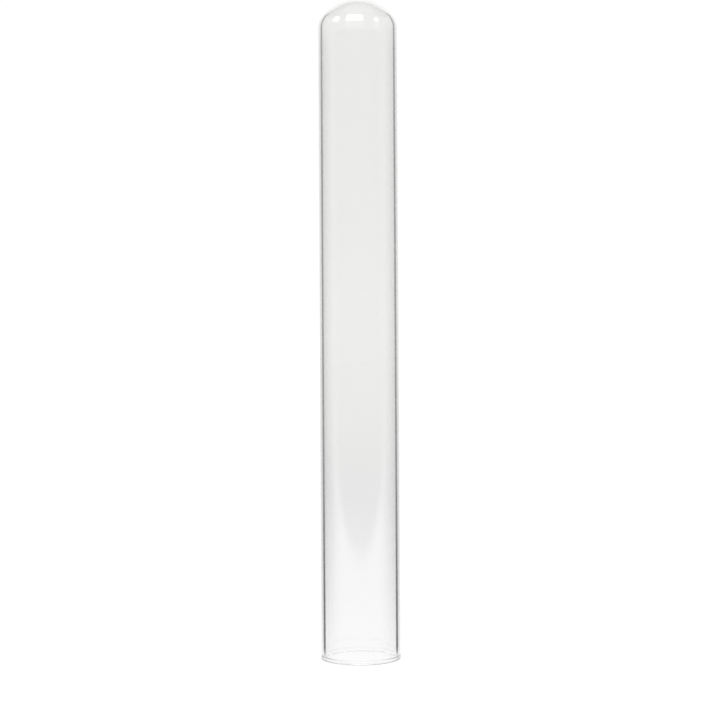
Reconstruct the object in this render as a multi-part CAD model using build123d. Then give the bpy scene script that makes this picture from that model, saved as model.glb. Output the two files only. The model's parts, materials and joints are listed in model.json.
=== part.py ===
from build123d import *
import math
import os

# A plain test tube of clear borosilicate glass, drawn, closed and fire-polished from one length
# of tubing, so it is one solid. It stands upside down on its open mouth.
# Millimetres. +Z runs from the mouth up to the closed end. The origin is the centre of the mouth,
# in the plane that the lip rests on. The solid is one section turned about Z, and a point of that
# section is (distance from the axis, height).

# The tube.
OUTER_DIAMETER = 18.0
OVERALL_LENGTH = 150.0
WALL = 0.75

# The closed end is a broad crown arc, which a tighter knuckle arc joins to the wall on a tangent.
# Inside and outside have arcs of their own, because a little glass gathers where the end was closed.
CROWN_RADIUS = 10.5
KNUCKLE_RADIUS = 5.0
INNER_CROWN_RADIUS = 9.85
INNER_KNUCKLE_RADIUS = 4.25
CLOSED_END_WALL = 0.8

# The lip is a small rounded bead, as the flame leaves it. It stands a little proud of the wall and
# runs into it through a fillet. Its inside stays straight, so that nothing narrows the mouth, and
# between the bead and the rounded inner edge is the narrow flat ring that the tube stands on.
LIP_SWELL = 0.06
BEAD_RADIUS = 0.5
BEAD_FILLET_RADIUS = 0.6
INNER_EDGE_RADIUS = 0.15

OUTER_RADIUS = OUTER_DIAMETER / 2
INNER_RADIUS = OUTER_RADIUS - WALL


def end_arcs(wall_radius, crown_radius, knuckle_radius, apex):
    """The crown's and the knuckle's centres, and the angle at which the two arcs meet."""
    crown_centre = (0.0, apex - crown_radius)
    across = wall_radius - knuckle_radius
    rise = math.sqrt((crown_radius - knuckle_radius) ** 2 - across**2)
    knuckle_centre = (across, crown_centre[1] + rise)
    return crown_centre, knuckle_centre, math.degrees(math.atan2(rise, across))


def closed_end(wall_radius, crown_radius, knuckle_radius, apex):
    """Draws one face of the closed end and returns where it meets the wall."""
    crown_centre, knuckle_centre, meeting = end_arcs(wall_radius, crown_radius, knuckle_radius, apex)
    CenterArc(crown_centre, crown_radius, meeting, 90 - meeting)
    CenterArc(knuckle_centre, knuckle_radius, 0, meeting)
    return (wall_radius, knuckle_centre[1])


def outer_lip():
    """Draws the lip's bead and its fillet, and returns their top, on the wall, and their foot."""
    bead_centre = (OUTER_RADIUS + LIP_SWELL - BEAD_RADIUS, BEAD_RADIUS)
    across = OUTER_RADIUS + BEAD_FILLET_RADIUS - bead_centre[0]
    rise = math.sqrt((BEAD_RADIUS + BEAD_FILLET_RADIUS) ** 2 - across**2)
    fillet_centre = (OUTER_RADIUS + BEAD_FILLET_RADIUS, bead_centre[1] + rise)
    meeting = math.degrees(math.atan2(rise, across))
    CenterArc(fillet_centre, BEAD_FILLET_RADIUS, 180, meeting)
    CenterArc(bead_centre, BEAD_RADIUS, -90, 90 + meeting)
    return (OUTER_RADIUS, fillet_centre[1]), (bead_centre[0], 0.0)


def inner_lip():
    """Draws the rounded inner edge of the lip, and returns its top, on the wall, and its foot."""
    edge_centre = (INNER_RADIUS + INNER_EDGE_RADIUS, INNER_EDGE_RADIUS)
    CenterArc(edge_centre, INNER_EDGE_RADIUS, 180, 90)
    return (INNER_RADIUS, edge_centre[1]), (edge_centre[0], 0.0)


def make_glass_tube():
    """The whole tube: its section, turned once about Z."""
    with BuildPart() as tube:
        with BuildSketch(Plane.XZ):
            with BuildLine():
                outer_shoulder = closed_end(
                    OUTER_RADIUS, CROWN_RADIUS, KNUCKLE_RADIUS, OVERALL_LENGTH
                )
                inner_apex = OVERALL_LENGTH - CLOSED_END_WALL
                inner_shoulder = closed_end(
                    INNER_RADIUS, INNER_CROWN_RADIUS, INNER_KNUCKLE_RADIUS, inner_apex
                )
                outer_top, outer_foot = outer_lip()
                inner_top, inner_foot = inner_lip()
                Line(outer_shoulder, outer_top)
                Line(inner_shoulder, inner_top)
                Line(outer_foot, inner_foot)
                Line((0, inner_apex), (0, OVERALL_LENGTH))
            make_face()
        revolve(axis=Axis.Z, revolution_arc=360)
    return tube.part


os.makedirs("parts", exist_ok=True)
export_step(make_glass_tube(), "parts/glass_tube.step")
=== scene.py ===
"""A clear borosilicate test tube standing upside down on its mouth, on a white sheet in a studio.

Lengths are in metres unless a name says otherwise, in the CAD frame: +Z up from the mouth's resting
plane, with the camera on the -Y side.
"""

import json
import math

import bpy
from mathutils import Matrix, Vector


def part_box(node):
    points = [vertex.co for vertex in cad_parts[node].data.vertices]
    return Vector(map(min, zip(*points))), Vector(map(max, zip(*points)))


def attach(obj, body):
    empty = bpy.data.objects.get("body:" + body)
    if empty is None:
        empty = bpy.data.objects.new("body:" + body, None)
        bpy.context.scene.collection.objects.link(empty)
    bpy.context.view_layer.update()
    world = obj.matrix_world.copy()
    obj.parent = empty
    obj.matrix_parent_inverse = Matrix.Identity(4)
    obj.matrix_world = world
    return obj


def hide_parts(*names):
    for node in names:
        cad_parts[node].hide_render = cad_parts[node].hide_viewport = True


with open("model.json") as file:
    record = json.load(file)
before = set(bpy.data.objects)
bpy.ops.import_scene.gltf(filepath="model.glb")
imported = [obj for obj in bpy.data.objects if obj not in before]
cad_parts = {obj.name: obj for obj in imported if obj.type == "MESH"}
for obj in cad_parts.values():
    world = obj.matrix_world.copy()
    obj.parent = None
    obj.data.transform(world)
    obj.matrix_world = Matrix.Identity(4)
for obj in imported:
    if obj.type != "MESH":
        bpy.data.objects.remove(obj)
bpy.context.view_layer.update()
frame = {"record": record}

# ---------------------------------------------------------------- sizes

MM = 0.001

# From the frame: the length, and the radii of the lip and of the straight wall.
MOUNTS = {mount["name"]: mount for mount in frame["record"]["mounts"]}
TUBE_LOW, TUBE_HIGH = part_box("glass_tube")
LENGTH = TUBE_HIGH[2] - TUBE_LOW[2]
LIP_RADIUS = (TUBE_HIGH[0] - TUBE_LOW[0]) / 2
OUTER_RADIUS = MOUNTS["body_outside"]["dims"]["r_mm"] * MM
INNER_RADIUS = MOUNTS["mouth_bore"]["dims"]["r_mm"] * MM

# The closed end's arcs and the lip's edges, as the CAD model has them.
CROWN_RADIUS = 10.5 * MM
KNUCKLE_RADIUS = 5.0 * MM
INNER_CROWN_RADIUS = 9.85 * MM
INNER_KNUCKLE_RADIUS = 4.25 * MM
CLOSED_END_WALL = 0.8 * MM
BEAD_RADIUS = 0.5 * MM
BEAD_FILLET_RADIUS = 0.6 * MM
INNER_EDGE_RADIUS = 0.15 * MM

# ---------------------------------------------------------------- the glass mesh

SEGMENTS = 384
WALL_RINGS = 60
CROWN_STEPS = 22
KNUCKLE_STEPS = 26
FILLET_STEPS = 8
BEAD_STEPS = 40
INNER_EDGE_STEPS = 8


def arc(centre, radius, start, stop, steps):
    """Section points along an arc, from angle start to stop in degrees, both ends included."""
    points = []
    for step in range(steps + 1):
        turn = math.radians(start + (stop - start) * step / steps)
        points.append((centre[0] + radius * math.cos(turn), centre[1] + radius * math.sin(turn)))
    return points


def straight(start, stop, steps):
    """Section points strictly between two points."""
    return [
        tuple(a + (b - a) * step / steps for a, b in zip(start, stop))
        for step in range(1, steps)
    ]


def closed_end(wall_radius, crown_radius, knuckle_radius, apex):
    """One face of the closed end, from the apex out to the wall: a crown arc, then a knuckle arc."""
    crown_centre = (0.0, apex - crown_radius)
    across = wall_radius - knuckle_radius
    rise = math.sqrt((crown_radius - knuckle_radius) ** 2 - across**2)
    meeting = math.degrees(math.atan2(rise, across))
    knuckle_centre = (across, crown_centre[1] + rise)
    crown = arc(crown_centre, crown_radius, 90, meeting, CROWN_STEPS)
    knuckle = arc(knuckle_centre, knuckle_radius, meeting, 0, KNUCKLE_STEPS)
    return crown + knuckle[1:]


def lip():
    """The lip's section, from the outer wall round the bead and the resting edge to the inner wall."""
    bead = (LIP_RADIUS - BEAD_RADIUS, BEAD_RADIUS)
    across = OUTER_RADIUS + BEAD_FILLET_RADIUS - bead[0]
    rise = math.sqrt((BEAD_RADIUS + BEAD_FILLET_RADIUS) ** 2 - across**2)
    meeting = math.degrees(math.atan2(rise, across))
    fillet = (OUTER_RADIUS + BEAD_FILLET_RADIUS, BEAD_RADIUS + rise)
    inner_edge = (INNER_RADIUS + INNER_EDGE_RADIUS, INNER_EDGE_RADIUS)
    points = arc(fillet, BEAD_FILLET_RADIUS, 180, 180 + meeting, FILLET_STEPS)
    points += arc(bead, BEAD_RADIUS, meeting, -90, BEAD_STEPS)[1:]
    points += arc(inner_edge, INNER_EDGE_RADIUS, -90, -180, INNER_EDGE_STEPS)
    return points


def tube_section():
    """The whole section, from the outer apex down, round the lip and up to the inner apex."""
    outer_end = closed_end(OUTER_RADIUS, CROWN_RADIUS, KNUCKLE_RADIUS, LENGTH)
    inner_end = closed_end(
        INNER_RADIUS, INNER_CROWN_RADIUS, INNER_KNUCKLE_RADIUS, LENGTH - CLOSED_END_WALL
    )
    rim = lip()
    outer_wall = straight(outer_end[-1], rim[0], WALL_RINGS)
    inner_wall = straight(rim[-1], inner_end[-1], WALL_RINGS)
    return outer_end + outer_wall + rim + inner_wall + inner_end[::-1]


def turned_mesh(name, section):
    """A closed, smooth mesh of a section turned about Z. Its first and last points are on Z."""
    vertices = [(0.0, 0.0, section[0][1])]
    for radius, height in section[1:-1]:
        for segment in range(SEGMENTS):
            turn = 2 * math.pi * segment / SEGMENTS
            vertices.append((radius * math.cos(turn), radius * math.sin(turn), height))
    vertices.append((0.0, 0.0, section[-1][1]))
    last = len(vertices) - 1
    ring_count = len(section) - 2
    faces = []
    for segment in range(SEGMENTS):
        following = (segment + 1) % SEGMENTS
        faces.append((0, 1 + segment, 1 + following))
        for ring in range(ring_count - 1):
            upper = 1 + ring * SEGMENTS
            lower = upper + SEGMENTS
            faces.append((upper + segment, lower + segment, lower + following, upper + following))
        final = 1 + (ring_count - 1) * SEGMENTS
        faces.append((final + segment, last, final + following))
    mesh = bpy.data.meshes.new(name)
    mesh.from_pydata(vertices, [], faces)
    mesh.polygons.foreach_set("use_smooth", [True] * len(mesh.polygons))
    mesh.update()
    return mesh


def looks_inwards(polygon):
    """Whether a face of the glass belongs to the inside of the tube."""
    outward = polygon.normal.x * polygon.center.x + polygon.normal.y * polygon.center.y
    under_crown = polygon.normal.z < 0 and polygon.center.z > LENGTH / 2
    return outward < 0 or under_crown


# ---------------------------------------------------------------- shader nodes

def add(tree, kind, inputs=None, **settings):
    """Adds a shader node, with these settings and these named inputs."""
    node = tree.nodes.new(kind)
    for name, value in settings.items():
        setattr(node, name, value)
    for name, value in (inputs or {}).items():
        node.inputs[name].default_value = value
    return node


def calculate(tree, operation, first, second=None):
    """A Math node of one or two values, each of which is a number or another node's output."""
    node = add(tree, "ShaderNodeMath", operation=operation)
    for socket, value in zip(node.inputs, (first, second)):
        if isinstance(value, (int, float)):
            socket.default_value = value
        elif value is not None:
            tree.links.new(value, socket)
    return node.outputs["Value"]


def product(tree, *factors):
    """Two or more values, multiplied."""
    result = factors[0]
    for factor in factors[1:]:
        result = calculate(tree, "MULTIPLY", result, factor)
    return result


def distance(tree, value, middle):
    """How far a value is from a middle value, without its sign."""
    return calculate(tree, "ABSOLUTE", calculate(tree, "SUBTRACT", value, middle))


def what_is_left(tree, share):
    """What is left of the light when this share of it is taken away."""
    return calculate(tree, "SUBTRACT", 1.0, share)


def map_range(tree, value, low, high, to_low=0.0, to_high=1.0):
    """Maps a value smoothly from one range to another, and holds it at the ends."""
    limits = {"From Min": low, "From Max": high, "To Min": to_low, "To Max": to_high}
    node = add(tree, "ShaderNodeMapRange", limits, interpolation_type="SMOOTHSTEP")
    tree.links.new(value, node.inputs["Value"])
    return node.outputs["Result"]


def degrees_range(tree, angle, limits_deg):
    """Goes from 0 to 1 as an angle in radians goes from the first limit in degrees to the second."""
    return map_range(tree, angle, math.radians(limits_deg[0]), math.radians(limits_deg[1]))


def curve(tree, value, rows, scale=1.0):
    """Joins these rows with straight lines, and reads the height there at the value."""
    node = add(tree, "ShaderNodeFloatCurve")
    points = node.mapping.curves[0].points
    while len(points) > 2:
        points.remove(points[1])
    node.mapping.use_clip = False
    for point, (position, height) in zip(points, (rows[0], rows[-1])):
        point.location = (position * scale, height)
        point.handle_type = "VECTOR"
    for position, height in rows[1:-1]:
        points.new(position * scale, height).handle_type = "VECTOR"
    node.mapping.extend = "HORIZONTAL"
    node.mapping.update()
    tree.links.new(value, node.inputs["Value"])
    return node.outputs["Value"]


def mix_colours(tree, factor, first, second):
    """A colour between two others."""
    node = add(tree, "ShaderNodeMix", {"A": first, "B": second}, data_type="RGBA")
    tree.links.new(factor, node.inputs["Factor"])
    return node.outputs["Result"]


def coordinates(tree, kind):
    """One of the texture coordinates as a vector, and its X, Y and Z."""
    vector = add(tree, "ShaderNodeTexCoord").outputs[kind]
    split = add(tree, "ShaderNodeSeparateXYZ")
    tree.links.new(vector, split.inputs["Vector"])
    return vector, split.outputs["X"], split.outputs["Y"], split.outputs["Z"]


def off_front(tree, x, y):
    """The azimuth of a place or direction, in radians from -Y and growing towards +X, and its size."""
    azimuth = calculate(tree, "ARCTAN2", x, calculate(tree, "MULTIPLY", y, -1.0))
    return azimuth, calculate(tree, "ABSOLUTE", azimuth)


# ---------------------------------------------------------------- the glass material

GLASS_IOR = 1.473

# The glass is clearer where the noise says thin, and a trace warmer above its lower third.
THIN_TINT = (0.952, 0.952, 0.952, 1)
THICK_TINT = (0.946, 0.946, 0.946, 1)
TONE_SCALE = 60.0
TONE_DETAIL = 2.0
NEUTRAL = (1.0, 1.0, 1.0, 1)
WARM = (1.0, 1.0, 0.991, 1)
NEUTRAL_BELOW = 34 * MM
WARM_ABOVE = 64 * MM

# The faint streaks that run along the tube, as it was drawn.
DRAW_STRETCH = 0.03
STREAK_SCALE = 260.0
STREAK_DETAIL = 3.0
STREAK_STRENGTH = 0.25
STREAK_DEPTH = 0.004 * MM

# Each row is a height in millimetres, and a painted brightness for the glass there: above 1 it is
# painted light, below 1 painted shade, and part of the darker V-shaped reflection low on the tube is
# painted this way. The rows were chosen to bring the tube's grey to the photograph's from foot to
# crown, where the studio's light alone is a few per cent off.
PAINTED_LIGHT_AND_SHADE_BY_HEIGHT = (
    (0, 1.033), (6, 1.031), (14, 1.016), (23, 1.007), (28, 1.0), (32, 0.9895), (37, 0.981),
    (45, 0.983), (54, 0.996), (60, 1.0), (80, 1.006), (100, 0.997), (125, 0.991), (150, 0.989),
)

# Each row is how far the surface turns away, from 0 face on to 1 edge on, and how much light it
# lets through there. The first is a painted shade that falls off towards each side, and the second is
# a painted dark line down each side, in place of the one that refraction at the wall's inner edge
# draws.
# Both are painted shade, because the white sheet and walls alone would leave the sides too pale.
PAINTED_SIDE_SHADE = (
    (0.10, 1.0), (0.165, 0.985), (0.225, 0.955), (0.295, 0.92), (0.41, 0.87), (0.53, 0.80),
)
PAINTED_EDGE_LINE_SHADE = (
    (0.53, 1.0), (0.575, 0.03), (0.645, 0.03), (0.685, 0.75), (0.85, 0.90), (1.00, 0.75),
)
# Each row is a height in millimetres and how strong the painted side shade is there, and then the
# same for the painted dark line.
FALLOFF_BY_HEIGHT = (
    (2, 0.9), (12, 1.8), (22, 2.6), (40, 3.0), (70, 2.7), (138, 2.5), (143, 1.6), (147, 0.3),
)
LINE_BY_HEIGHT = (
    (1.0, 0.0), (1.5, 0.2), (1.9, 0.5), (2.8, 1.55), (14, 1.4), (26, 1.1), (40, 0.8), (60, 0.7),
    (90, 0.65), (115, 0.7), (130, 0.57), (145.2, 0.5), (145.9, 0.0),
)

# The lip's lines of painted shade: the crease above the bead, and the bead's foot where it meets the
# sheet.
CREASE_HEIGHT = 0.88 * MM
CREASE_HALF_HEIGHT = 0.19 * MM
FOOT_LINE_TOP = 0.34 * MM
FOOT_LINE_DARKEST = FOOT_LINE_TOP / 4
# How far the surface turns away where each one starts to darken and where it is darkest, and the
# share of light that it takes at the first and at the second.
CREASE_DARKENING = (0.02, 0.5, 0.08, 0.85)
BEAD_DARKENING = (0.55, 0.95, 0.0, 0.35)
FOOT_DARKENING = (0.5, 0.9, 0.03, 0.93)


def painted_side_and_line_shade(tree, facing, along):
    """The painted shade that the outside gets beside and in the dark line down each side."""
    per_length = MM / LENGTH
    falloff_strength = curve(tree, along, FALLOFF_BY_HEIGHT, per_length)
    falloff = calculate(tree, "POWER", curve(tree, facing, PAINTED_SIDE_SHADE), falloff_strength)
    line_strength = curve(tree, along, LINE_BY_HEIGHT, per_length)
    line = calculate(tree, "POWER", curve(tree, facing, PAINTED_EDGE_LINE_SHADE), line_strength)
    return product(tree, falloff, line)


def painted_lip_shade(tree, facing, height):
    """The painted shade that the outside gets in the crease, on the bead and at the bead's foot."""
    near_crease = map_range(tree, distance(tree, height, CREASE_HEIGHT), CREASE_HALF_HEIGHT, 0.0)
    on_bead = map_range(tree, height, CREASE_HEIGHT, CREASE_HEIGHT - CREASE_HALF_HEIGHT)
    at_foot = map_range(tree, height, FOOT_LINE_TOP, FOOT_LINE_DARKEST)
    darkenings = (
        (near_crease, CREASE_DARKENING),
        (on_bead, BEAD_DARKENING),
        (at_foot, FOOT_DARKENING),
    )
    return product(tree, *(
        what_is_left(tree, product(tree, place, map_range(tree, facing, *darkening)))
        for place, darkening in darkenings
    ))


def glass_colour(tree, shader, place, height, is_outside):
    """The glass's colour: an uneven grey, a trace of warmth, and painted light and shade by height,
    with the outside's painted side and lip shade on top.
    """
    tone = add(tree, "ShaderNodeTexNoise", {"Scale": TONE_SCALE, "Detail": TONE_DETAIL})
    tree.links.new(place, tone.inputs["Vector"])
    tint = mix_colours(tree, tone.outputs["Fac"], THIN_TINT, THICK_TINT)
    warmth = mix_colours(tree, map_range(tree, height, NEUTRAL_BELOW, WARM_ABOVE), NEUTRAL, WARM)
    warmed = add(tree, "ShaderNodeVectorMath", operation="MULTIPLY")
    tree.links.new(tint, warmed.inputs[0])
    tree.links.new(warmth, warmed.inputs[1])

    along = calculate(tree, "DIVIDE", height, LENGTH)
    shade = curve(tree, along, PAINTED_LIGHT_AND_SHADE_BY_HEIGHT, MM / LENGTH)
    if is_outside:
        facing = add(tree, "ShaderNodeLayerWeight", {"Blend": 0.5}).outputs["Facing"]
        sides = painted_side_and_line_shade(tree, facing, along)
        shade = product(tree, shade, sides, painted_lip_shade(tree, facing, height))
    shaded = add(tree, "ShaderNodeVectorMath", operation="SCALE")
    tree.links.new(warmed.outputs["Vector"], shaded.inputs["Vector"])
    tree.links.new(shade, shaded.inputs["Scale"])
    tree.links.new(shaded.outputs["Vector"], shader.inputs["Base Color"])


def draw_streaks(tree, shader, place):
    """Faint streaks along the tube, as a bump."""
    stretched = add(tree, "ShaderNodeMapping", {"Scale": (1.0, 1.0, DRAW_STRETCH)})
    streaks = add(tree, "ShaderNodeTexNoise", {"Scale": STREAK_SCALE, "Detail": STREAK_DETAIL})
    bump = add(tree, "ShaderNodeBump", {"Strength": STREAK_STRENGTH, "Distance": STREAK_DEPTH})
    tree.links.new(place, stretched.inputs["Vector"])
    tree.links.new(stretched.outputs["Vector"], streaks.inputs["Vector"])
    tree.links.new(streaks.outputs["Fac"], bump.inputs["Height"])
    tree.links.new(bump.outputs["Normal"], shader.inputs["Normal"])


def glass_material(name, is_outside):
    """Clear drawn borosilicate with painted light and shade by height. The outside also carries the
    painted shade of the side lines and the lip's lines.
    """
    material = bpy.data.materials.new(name)
    material.use_nodes = True
    tree = material.node_tree
    shader = tree.nodes["Principled BSDF"]
    shader.inputs["IOR"].default_value = GLASS_IOR
    shader.inputs["Transmission Weight"].default_value = 1.0
    shader.inputs["Roughness"].default_value = 0.0
    place, _, _, height = coordinates(tree, "Object")
    glass_colour(tree, shader, place, height, is_outside)
    draw_streaks(tree, shader, place)
    return material


def make_glass():
    """The tube's visible glass, with one material outside and one inside."""
    glass = bpy.data.objects.new("test_tube_glass", turned_mesh("test_tube_glass", tube_section()))
    bpy.context.scene.collection.objects.link(glass)
    glass.data.materials.append(glass_material("glass_outside", True))
    glass.data.materials.append(glass_material("glass_inside", False))
    for polygon in glass.data.polygons:
        polygon.material_index = int(looks_inwards(polygon))
    return glass


# ---------------------------------------------------------------- the floor

# The white sheet fades into the grey table between these two lines, in front of the tube.
SHEET_FRONT = -0.150
TABLE_START = -0.230
SHEET_GLOW = 0.935
TABLE_GLOW = 0.24
SHEET_ALBEDO = 0.08
SHEET_ROUGHNESS = 0.9
FLOOR_HALF_WIDTH = 20.0

# A painted contact shadow: the sheet glows dimmer in a narrow ring under the edge of the bead.
CONTACT_RADIUS = LIP_RADIUS - 0.25 * MM
CONTACT_HALF_WIDTH = 0.3 * MM
CONTACT_DEPTH = 0.6

# The room and the table are dark only in front of the tube. This is how far round from the front
# they start to brighten, and where they are as bright as the rest.
DARK_FRONT_DEG = 55
BRIGHT_SIDE_DEG = 95


def sheet_glow(tree, x, y):
    """How brightly the sheet and the table glow, before the painted contact shadow under the bead."""
    turned = off_front(tree, x, y)[1]
    in_front = degrees_range(tree, turned, (BRIGHT_SIDE_DEG, DARK_FRONT_DEG))
    table = product(tree, map_range(tree, y, SHEET_FRONT, TABLE_START), in_front)
    return calculate(tree, "SUBTRACT", SHEET_GLOW, product(tree, table, SHEET_GLOW - TABLE_GLOW))


def painted_contact_shadow(tree, x, y):
    """The share of the glow that the painted contact shadow under the edge of the bead takes away."""
    squares = calculate(
        tree, "ADD", calculate(tree, "POWER", x, 2.0), calculate(tree, "POWER", y, 2.0)
    )
    off_ring = distance(tree, calculate(tree, "SQRT", squares), CONTACT_RADIUS)
    return map_range(tree, off_ring, CONTACT_HALF_WIDTH, 0.0, 0.0, CONTACT_DEPTH)


def floor_material():
    """The sheet under the tube, which glows like a lit table, with a painted contact shadow under the
    bead, and the table in front of it.
    """
    material = bpy.data.materials.new("white_sheet")
    material.use_nodes = True
    tree = material.node_tree
    shader = tree.nodes["Principled BSDF"]
    shader.inputs["Roughness"].default_value = SHEET_ROUGHNESS
    shader.inputs["Specular IOR Level"].default_value = 0.0
    shader.inputs["Base Color"].default_value = (SHEET_ALBEDO, SHEET_ALBEDO, SHEET_ALBEDO, 1)
    shader.inputs["Emission Color"].default_value = (1, 1, 1, 1)
    _, x, y, _ = coordinates(tree, "Object")
    glow = product(tree, sheet_glow(tree, x, y), what_is_left(tree, painted_contact_shadow(tree, x, y)))
    tree.links.new(glow, shader.inputs["Emission Strength"])
    return material


def make_floor():
    """One wide flat floor, which is the sheet and the table together."""
    half = FLOOR_HALF_WIDTH
    mesh = bpy.data.meshes.new("floor")
    corners = [(-half, -half, 0), (half, -half, 0), (half, half, 0), (-half, half, 0)]
    mesh.from_pydata(corners, [], [(0, 1, 2, 3)])
    floor = bpy.data.objects.new("floor", mesh)
    bpy.context.scene.collection.objects.link(floor)
    mesh.materials.append(floor_material())


# ---------------------------------------------------------------- the room and its lights

ROOM_LIGHT = 0.34
BACKDROP_LIGHT = 1.035
CEILING_LIGHT = 0.8
# How much of the backdrop's light the part overhead has.
OVERHEAD_SHARE = 0.5

# Each pair is where a bright part of the room starts and where it is fully bright, in degrees: the
# backdrop by how far a direction is from straight behind the tube, and the others by elevation.
BACKDROP_EDGE_DEG = (60, 42)
SIDE_WALL_EDGE_DEG = (45, 28)
OVERHEAD_EDGE_DEG = (25, 42)
CEILING_EDGE_DEG = (52, 66)
# The overhead part is only on the back half. It starts where a direction's Y is 0, and is full here.
OVERHEAD_FULL_Y = 0.3

# Each soft light: the middle of its azimuth, its half width, its lowest and highest elevation, all
# in degrees, and how bright it is. Azimuth 0 is in front of the tube, on -Y, and grows towards +X.
SOFT_LIGHTS = (
    (-9, 26, 16, 47, 6.0),
    (-70, 9, 17, 38, 5.0),
    (60, 8, 15, 33, 3.0),
)
SOFT_EDGE_DEG = 4.5


def bright_walls(tree, y, turned, elevation):
    """Where the room is white: behind the tube, beside it, and less so overhead towards the back."""
    backdrop_start, backdrop_full = (math.cos(math.radians(edge)) for edge in BACKDROP_EDGE_DEG)
    behind = map_range(tree, y, backdrop_start, backdrop_full)
    beside = product(
        tree,
        degrees_range(tree, turned, (DARK_FRONT_DEG, BRIGHT_SIDE_DEG)),
        degrees_range(tree, elevation, SIDE_WALL_EDGE_DEG),
    )
    overhead = product(
        tree,
        degrees_range(tree, elevation, OVERHEAD_EDGE_DEG),
        map_range(tree, y, 0.0, OVERHEAD_FULL_Y),
        OVERHEAD_SHARE,
    )
    return calculate(tree, "MAXIMUM", calculate(tree, "MAXIMUM", behind, beside), overhead)


def soft_span(tree, angle, middle, half):
    """1 within half a width of the middle, in degrees, and 0 outside, with a soft edge."""
    off = distance(tree, angle, math.radians(middle))
    return degrees_range(tree, off, (half + SOFT_EDGE_DEG, half - SOFT_EDGE_DEG))


def soft_light(tree, azimuth, elevation, row):
    """The light of one soft box."""
    middle, half, low, high, strength = row
    across = soft_span(tree, azimuth, middle, half)
    upright = soft_span(tree, elevation, (low + high) / 2, (high - low) / 2)
    return product(tree, across, upright, strength)


def make_world():
    """A dim room in front, white walls behind and beside, a pale ceiling and three soft lights."""
    world = bpy.data.worlds.new("studio")
    bpy.context.scene.world = world
    world.use_nodes = True
    tree = world.node_tree
    background = tree.nodes["Background"]
    background.inputs["Color"].default_value = (1, 1, 1, 1)
    _, x, y, z = coordinates(tree, "Generated")
    azimuth, turned = off_front(tree, x, y)
    elevation = calculate(tree, "ARCSINE", z)

    walls = product(tree, bright_walls(tree, y, turned, elevation), BACKDROP_LIGHT - ROOM_LIGHT)
    ceiling = product(
        tree, degrees_range(tree, elevation, CEILING_EDGE_DEG), CEILING_LIGHT - ROOM_LIGHT
    )
    light = calculate(tree, "ADD", calculate(tree, "MAXIMUM", walls, ceiling), ROOM_LIGHT)
    for row in SOFT_LIGHTS:
        light = calculate(tree, "ADD", light, soft_light(tree, azimuth, elevation, row))
    tree.links.new(light, background.inputs["Strength"])


# ---------------------------------------------------------------- the camera and the view

CAMERA_DISTANCE = 0.355
CAMERA_HEIGHT = 0.06787
CAMERA_SIDE = 0.00015
CAMERA_ROLL_DEG = 0.32
LENS_MM = 77.86
SENSOR_WIDTH_MM = 36.0
# Light that enters at the lip runs up inside the wall as in a light guide, and with the usual few
# bounces it never gets out, which turns the lip's corners black.
GLASS_BOUNCES = 1000


def make_camera():
    """A level camera in front of the tube, a little below its middle, and rolled by a trace."""
    camera = bpy.data.cameras.new("camera")
    camera.lens = LENS_MM
    camera.sensor_width = SENSOR_WIDTH_MM
    holder = bpy.data.objects.new("camera", camera)
    bpy.context.scene.collection.objects.link(holder)
    holder.location = (CAMERA_SIDE, -CAMERA_DISTANCE, CAMERA_HEIGHT)
    holder.rotation_mode = "XYZ"
    holder.rotation_euler = (math.radians(90), math.radians(CAMERA_ROLL_DEG), 0)
    bpy.context.scene.camera = holder


def set_up_view():
    """Plain colours, denoising, and enough bounces for light inside the wall."""
    scene = bpy.context.scene
    scene.view_settings.view_transform = "Standard"
    scene.view_settings.look = "None"
    scene.cycles.use_denoising = True
    scene.cycles.max_bounces = GLASS_BOUNCES
    scene.cycles.transmission_bounces = GLASS_BOUNCES
    scene.cycles.glossy_bounces = GLASS_BOUNCES


# ---------------------------------------------------------------- the scene

make_camera()
make_world()
make_floor()
set_up_view()

glass = make_glass()
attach(glass, "root")
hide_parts("glass_tube")
